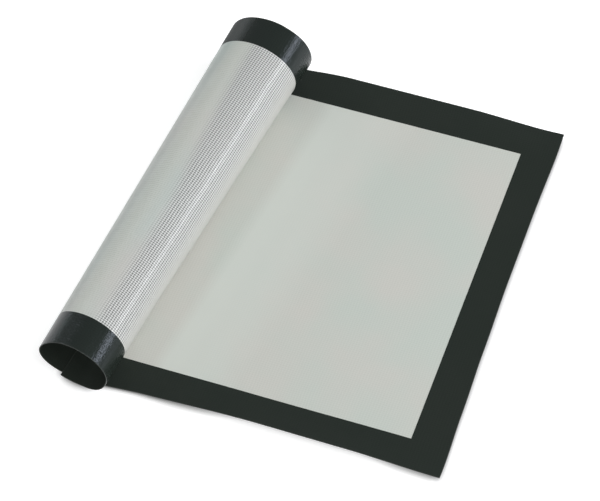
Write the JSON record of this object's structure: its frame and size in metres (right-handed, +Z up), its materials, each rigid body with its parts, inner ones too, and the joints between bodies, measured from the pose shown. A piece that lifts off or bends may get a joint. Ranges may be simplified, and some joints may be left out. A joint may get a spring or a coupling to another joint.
{
  "type": "silicone baking mat",
  "caption": "Thin rectangular baking mat of coated glass cloth with a dark sealed border, half rolled up, that unrolls flat.",
  "frame": {"origin": "on the table, under the middle of the mat's bounding box as it lies half rolled up", "axes": "+X across the roll towards the flat part, +Y along the mat's short side from the near end of the roll to the far end, +Z up"},
  "size_m": [0.275, 0.3058, 0.0604],
  "materials": {
    "glass_cloth": "matte",
    "silicone_coat": "satin",
    "border": "satin"
  },
  "bodies": {
    "flat": {"flat_glass_cloth": "glass_cloth", "flat_silicone_coat": "silicone_coat", "flat_border": "border"},
    "roll_01": {"roll_01_glass_cloth": "glass_cloth", "roll_01_silicone_coat": "silicone_coat", "roll_01_border": "border"},
    "roll_02": {"roll_02_glass_cloth": "glass_cloth", "roll_02_silicone_coat": "silicone_coat", "roll_02_border": "border"},
    "roll_03": {"roll_03_glass_cloth": "glass_cloth", "roll_03_silicone_coat": "silicone_coat", "roll_03_border": "border"},
    "roll_04": {"roll_04_glass_cloth": "glass_cloth", "roll_04_silicone_coat": "silicone_coat", "roll_04_border": "border"},
    "roll_05": {"roll_05_glass_cloth": "glass_cloth", "roll_05_silicone_coat": "silicone_coat", "roll_05_border": "border"},
    "roll_06": {"roll_06_glass_cloth": "glass_cloth", "roll_06_silicone_coat": "silicone_coat", "roll_06_border": "border"},
    "roll_07": {"roll_07_glass_cloth": "glass_cloth", "roll_07_silicone_coat": "silicone_coat", "roll_07_border": "border"},
    "roll_08": {"roll_08_glass_cloth": "glass_cloth", "roll_08_silicone_coat": "silicone_coat", "roll_08_border": "border"},
    "roll_09": {"roll_09_glass_cloth": "glass_cloth", "roll_09_silicone_coat": "silicone_coat", "roll_09_border": "border"},
    "roll_10": {"roll_10_glass_cloth": "glass_cloth", "roll_10_silicone_coat": "silicone_coat", "roll_10_border": "border"},
    "roll_11": {"roll_11_glass_cloth": "glass_cloth", "roll_11_silicone_coat": "silicone_coat", "roll_11_border": "border"},
    "roll_12": {"roll_12_glass_cloth": "glass_cloth", "roll_12_silicone_coat": "silicone_coat", "roll_12_border": "border"},
    "roll_13": {"roll_13_glass_cloth": "glass_cloth", "roll_13_silicone_coat": "silicone_coat", "roll_13_border": "border"},
    "roll_14": {"roll_14_glass_cloth": "glass_cloth", "roll_14_silicone_coat": "silicone_coat", "roll_14_border": "border"},
    "roll_15": {"roll_15_glass_cloth": "glass_cloth", "roll_15_silicone_coat": "silicone_coat", "roll_15_border": "border"},
    "roll_16": {"roll_16_glass_cloth": "glass_cloth", "roll_16_silicone_coat": "silicone_coat", "roll_16_border": "border"},
    "roll_17": {"roll_17_glass_cloth": "glass_cloth", "roll_17_silicone_coat": "silicone_coat", "roll_17_border": "border"},
    "roll_18": {"roll_18_glass_cloth": "glass_cloth", "roll_18_border": "border"},
    "roll_19": {"roll_19_glass_cloth": "glass_cloth", "roll_19_border": "border"}
  },
  "joints": [
    {"name": "bend_01", "type": "hinge", "parent": "flat", "child": "roll_01", "pos_m": [-0.09641, 0.00544, 0], "axis": [-0.1115, -0.9938, 0], "range_deg": [0, 10.21]},
    {"name": "bend_02", "type": "hinge", "parent": "roll_01", "child": "roll_02", "pos_m": [-0.10752, 0.00541, 0.00199], "axis": [-0.1031, -0.9947, -0.0015], "range_deg": [0, 20.42]},
    {"name": "bend_03", "type": "hinge", "parent": "roll_02", "child": "roll_03", "pos_m": [-0.11589, 0.00526, 0.0069], "axis": [-0.0968, -0.9953, -0.0052], "range_deg": [0, 20.42]},
    {"name": "bend_04", "type": "hinge", "parent": "roll_03", "child": "roll_04", "pos_m": [-0.12122, 0.00494, 0.01342], "axis": [-0.0929, -0.9956, -0.0102], "range_deg": [0, 20.42]},
    {"name": "bend_05", "type": "hinge", "parent": "roll_04", "child": "roll_05", "pos_m": [-0.12384, 0.00438, 0.02103], "axis": [-0.0909, -0.9957, -0.016], "range_deg": [0, 20.42]},
    {"name": "bend_06", "type": "hinge", "parent": "roll_05", "child": "roll_06", "pos_m": [-0.12363, 0.00348, 0.02974], "axis": [-0.0911, -0.9956, -0.0226], "range_deg": [0, 20.42]},
    {"name": "bend_07", "type": "hinge", "parent": "roll_06", "child": "roll_07", "pos_m": [-0.1199, 0.00215, 0.03906], "axis": [-0.094, -0.9951, -0.0298], "range_deg": [0, 20.42]},
    {"name": "bend_08", "type": "hinge", "parent": "roll_07", "child": "roll_08", "pos_m": [-0.11227, 0.00038, 0.04745], "axis": [-0.0999, -0.9943, -0.0362], "range_deg": [0, 20.41]},
    {"name": "bend_09", "type": "hinge", "parent": "roll_08", "child": "roll_09", "pos_m": [-0.10161, -0.00162, 0.05289], "axis": [-0.1081, -0.9933, -0.0403], "range_deg": [0, 20.41]},
    {"name": "bend_10", "type": "hinge", "parent": "roll_09", "child": "roll_10", "pos_m": [-0.09009, -0.00353, 0.05418], "axis": [-0.1169, -0.9923, -0.0413], "range_deg": [0, 20.42]},
    {"name": "bend_11", "type": "hinge", "parent": "roll_10", "child": "roll_11", "pos_m": [-0.08006, -0.00505, 0.05163], "axis": [-0.1246, -0.9914, -0.0394], "range_deg": [0, 20.42]},
    {"name": "bend_12", "type": "hinge", "parent": "roll_11", "child": "roll_12", "pos_m": [-0.0728, -0.00606, 0.04659], "axis": [-0.1301, -0.9909, -0.0356], "range_deg": [0, 20.42]},
    {"name": "bend_13", "type": "hinge", "parent": "roll_12", "child": "roll_13", "pos_m": [-0.06836, -0.00663, 0.04023], "axis": [-0.1336, -0.9906, -0.0307], "range_deg": [0, 20.42]},
    {"name": "bend_14", "type": "hinge", "parent": "roll_13", "child": "roll_14", "pos_m": [-0.06643, -0.00682, 0.03285], "axis": [-0.135, -0.9905, -0.0251], "range_deg": [0, 20.42]},
    {"name": "bend_15", "type": "hinge", "parent": "roll_14", "child": "roll_15", "pos_m": [-0.06726, -0.00663, 0.0244], "axis": [-0.1344, -0.9907, -0.0186], "range_deg": [0, 20.42]},
    {"name": "bend_16", "type": "hinge", "parent": "roll_15", "child": "roll_16", "pos_m": [-0.07158, -0.00596, 0.0155], "axis": [-0.1311, -0.9913, -0.0118], "range_deg": [0, 20.42]},
    {"name": "bend_17", "type": "hinge", "parent": "roll_16", "child": "roll_17", "pos_m": [-0.07963, -0.00481, 0.00781], "axis": [-0.125, -0.9921, -0.006], "range_deg": [0, 20.26]},
    {"name": "bend_18", "type": "hinge", "parent": "roll_17", "child": "roll_18", "pos_m": [-0.0901, -0.00338, 0.00329], "axis": [-0.117, -0.9931, -0.0025], "range_deg": [0, 20.87]},
    {"name": "bend_19", "type": "hinge", "parent": "roll_18", "child": "roll_19", "pos_m": [-0.10173, -0.00181, 0.00282], "axis": [-0.1081, -0.9941, -0.0021], "range_deg": [0, 24.91]}
  ],
  "couplings": [
    {"joint": "bend_02", "follows": "bend_01", "ratio": 2.0001},
    {"joint": "bend_03", "follows": "bend_01", "ratio": 2.0002},
    {"joint": "bend_04", "follows": "bend_01", "ratio": 2.0003},
    {"joint": "bend_05", "follows": "bend_01", "ratio": 2.0002},
    {"joint": "bend_06", "follows": "bend_01", "ratio": 2.0002},
    {"joint": "bend_07", "follows": "bend_01", "ratio": 2},
    {"joint": "bend_08", "follows": "bend_01", "ratio": 1.9999},
    {"joint": "bend_09", "follows": "bend_01", "ratio": 1.9999},
    {"joint": "bend_10", "follows": "bend_01", "ratio": 2},
    {"joint": "bend_11", "follows": "bend_01", "ratio": 2.0001},
    {"joint": "bend_12", "follows": "bend_01", "ratio": 2.0002},
    {"joint": "bend_13", "follows": "bend_01", "ratio": 2.0003},
    {"joint": "bend_14", "follows": "bend_01", "ratio": 2.0003},
    {"joint": "bend_15", "follows": "bend_01", "ratio": 2.0002},
    {"joint": "bend_16", "follows": "bend_01", "ratio": 2.0001},
    {"joint": "bend_17", "follows": "bend_01", "ratio": 1.9849},
    {"joint": "bend_18", "follows": "bend_01", "ratio": 2.0447},
    {"joint": "bend_19", "follows": "bend_01", "ratio": 2.4404}
  ]
}
